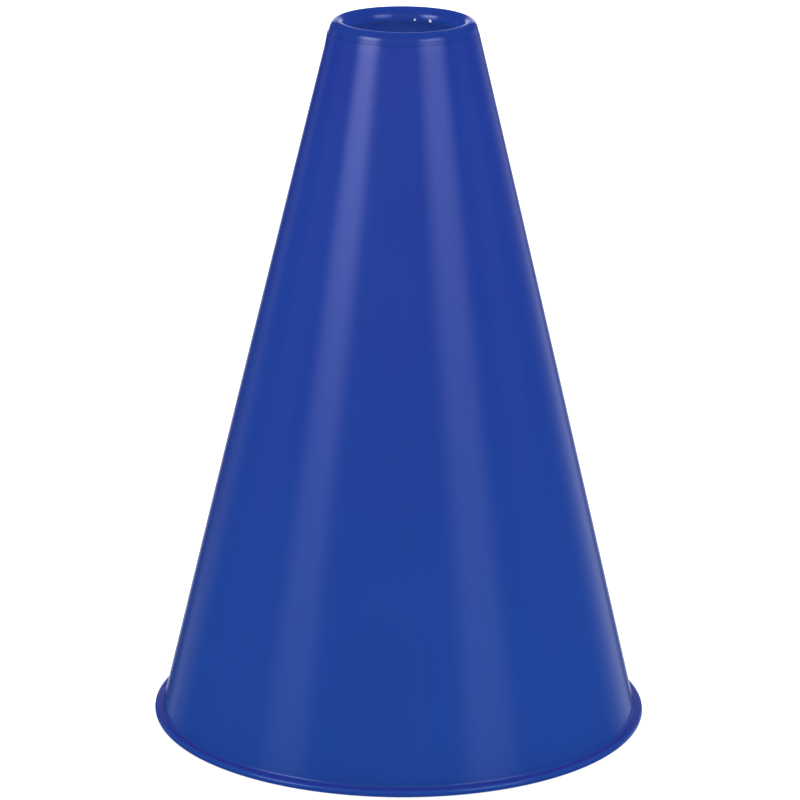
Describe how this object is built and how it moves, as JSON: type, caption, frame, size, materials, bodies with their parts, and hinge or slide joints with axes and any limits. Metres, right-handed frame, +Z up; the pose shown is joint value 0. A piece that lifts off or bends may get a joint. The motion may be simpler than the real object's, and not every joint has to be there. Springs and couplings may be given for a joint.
{
  "type": "cheer megaphone",
  "caption": "Small passive voice horn: a moulded plastic cone with a flanged bell and a rounded, snap-in mouthpiece ring, stood on its bell.",
  "frame": {"origin": "centre of the bell's rest plane", "axes": "+Z up the horn's axis, from the bell to the mouthpiece"},
  "size_m": [0.1394, 0.1394, 0.2],
  "materials": {
    "horn_plastic": "royal blue, satin gloss off the mould, with very fine draw lines along the cone",
    "mouthpiece_plastic": "royal blue, glossier than the horn"
  },
  "bodies": {
    "root": {"horn": "horn_plastic", "mouthpiece": "mouthpiece_plastic"}
  },
  "joints": []
}
